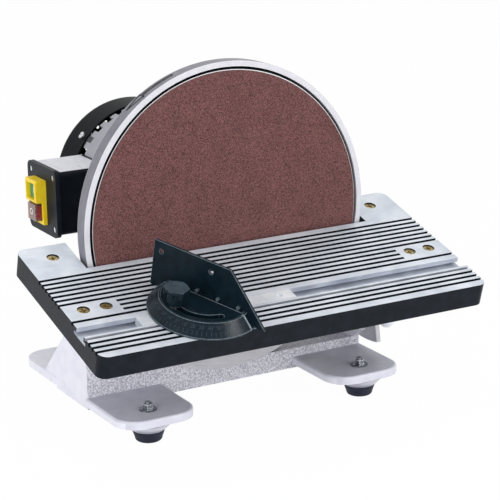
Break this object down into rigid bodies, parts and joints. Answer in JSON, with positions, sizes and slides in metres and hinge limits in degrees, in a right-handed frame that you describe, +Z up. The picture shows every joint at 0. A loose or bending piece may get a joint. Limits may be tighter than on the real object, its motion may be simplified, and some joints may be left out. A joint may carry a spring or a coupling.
{
  "type": "benchtop disc sander",
  "caption": "Direct-drive bench disc sander with a tilting grooved iron table, mitre gauge, disc guard, motor and push-button switch box",
  "frame": {"origin": "on the bench under the feet, straight below the centre of the abrasive face", "axes": "+X to the right along the table, +Y away from the operator along the motor, +Z up"},
  "size_m": [0.437, 0.4027, 0.3618],
  "materials": {
    "grey_hammered_paint": "light grey hammered paint",
    "motor_paint": "smooth satin grey paint",
    "cast_iron_bare": "ground top, dark sides",
    "aluminium": "turned",
    "abrasive": "red-brown grit",
    "rubber": "moulded black",
    "zinc_steel": "zinc plated",
    "yellow_zinc": "yellow passivated zinc",
    "bright_steel": "ground",
    "laminations": "stacked sheet",
    "copper_winding": "varnished wire",
    "black_steel": "black paint",
    "black_casting": "satin black paint",
    "black_plastic": "moulded black",
    "white_plastic": "smooth",
    "yellow_plastic": "moulded yellow",
    "green_plastic": "moulded green",
    "red_plastic": "moulded red",
    "clear_plastic": "clear moulded",
    "lever_metal": "light grey paint"
  },
  "bodies": {
    "base": {"base_casting": "grey_hammered_paint", "rubber_feet": "rubber", "foot_bolts": "zinc_steel", "foot_washers": "zinc_steel", "foot_nuts": "zinc_steel", "disc_guard": "grey_hammered_paint", "guard_bolts": "zinc_steel", "lower_disc_cover": "grey_hammered_paint", "cover_screws": "zinc_steel", "dust_spout": "black_plastic", "stator_core": "laminations", "stator_windings": "copper_winding", "front_bearing": "bright_steel", "rear_bearing": "bright_steel", "front_end_bell": "motor_paint", "motor_frame": "motor_paint", "rear_end_bell": "aluminium", "bell_screws": "zinc_steel", "fan_cover": "black_steel", "fan_cover_screws": "zinc_steel", "switch_box": "black_steel", "switch_box_lid": "black_steel", "lid_screws": "zinc_steel", "cable_gland": "black_plastic", "run_capacitor": "white_plastic", "switch_housing": "yellow_plastic", "guide_bolts": "zinc_steel", "guide_nuts": "zinc_steel", "lock_stud": "zinc_steel"},
    "disc": {"disc_plate": "aluminium", "abrasive_disc": "abrasive", "shaft_key": "bright_steel", "hub_set_screws": "zinc_steel", "motor_shaft": "bright_steel", "rotor": "laminations", "cooling_fan": "aluminium"},
    "table": {"table_top": "cast_iron_bare", "left_tilt_bracket": "grey_hammered_paint", "right_tilt_bracket": "grey_hammered_paint", "table_screws": "yellow_zinc"},
    "lock_handle": {"lock_lever": "lever_metal"},
    "gauge_bar": {"mitre_bar": "bright_steel", "guide_washer": "bright_steel", "head_pivot_screw": "zinc_steel", "clamp_stud": "zinc_steel"},
    "gauge_head": {"mitre_head": "black_casting", "mitre_fence": "black_steel", "fence_screws": "zinc_steel"},
    "gauge_knob": {"clamp_knob": "black_plastic"},
    "start": {"start_button": "green_plastic"},
    "stop": {"stop_button": "red_plastic", "stop_button_cap": "clear_plastic"}
  },
  "joints": [
    {"name": "disc_spin", "type": "hinge", "parent": "base", "child": "disc", "pos_m": [0, 0.06, 0.1995], "axis": [0, 1, 0], "continuous": true},
    {"name": "table_tilt", "type": "hinge", "parent": "base", "child": "table", "pos_m": [0, -0.0058, 0.173], "axis": [1, 0, 0], "range_deg": [-16, 29]},
    {"name": "lock_lever_swing", "type": "hinge", "parent": "base", "child": "lock_handle", "pos_m": [0.18, 0.04154, 0.07593], "axis": [1, 0, 0], "range_deg": [0, 50]},
    {"name": "gauge_slide", "type": "slide", "parent": "table", "child": "gauge_bar", "axis": [1, 0, 0], "range_m": [-0.06, 0.205]},
    {"name": "gauge_turn", "type": "hinge", "parent": "gauge_bar", "child": "gauge_head", "pos_m": [-0.088, -0.10635, 0.14417], "axis": [0, -0.2756, 0.9613], "range_deg": [-90, 30]},
    {"name": "clamp_knob_turn", "type": "hinge", "parent": "gauge_bar", "child": "gauge_knob", "pos_m": [-0.1205, -0.10635, 0.14417], "axis": [0, -0.2756, 0.9613], "range_deg": [0, 360]},
    {"name": "start_press", "type": "slide", "parent": "base", "child": "start", "axis": [1, 0, 0], "range_m": [0, 0.003], "stiffness_N_per_m": 400, "springref_m": -0.001},
    {"name": "stop_press", "type": "slide", "parent": "base", "child": "stop", "axis": [1, 0, 0], "range_m": [0, 0.004], "stiffness_N_per_m": 400, "springref_m": -0.001}
  ]
}
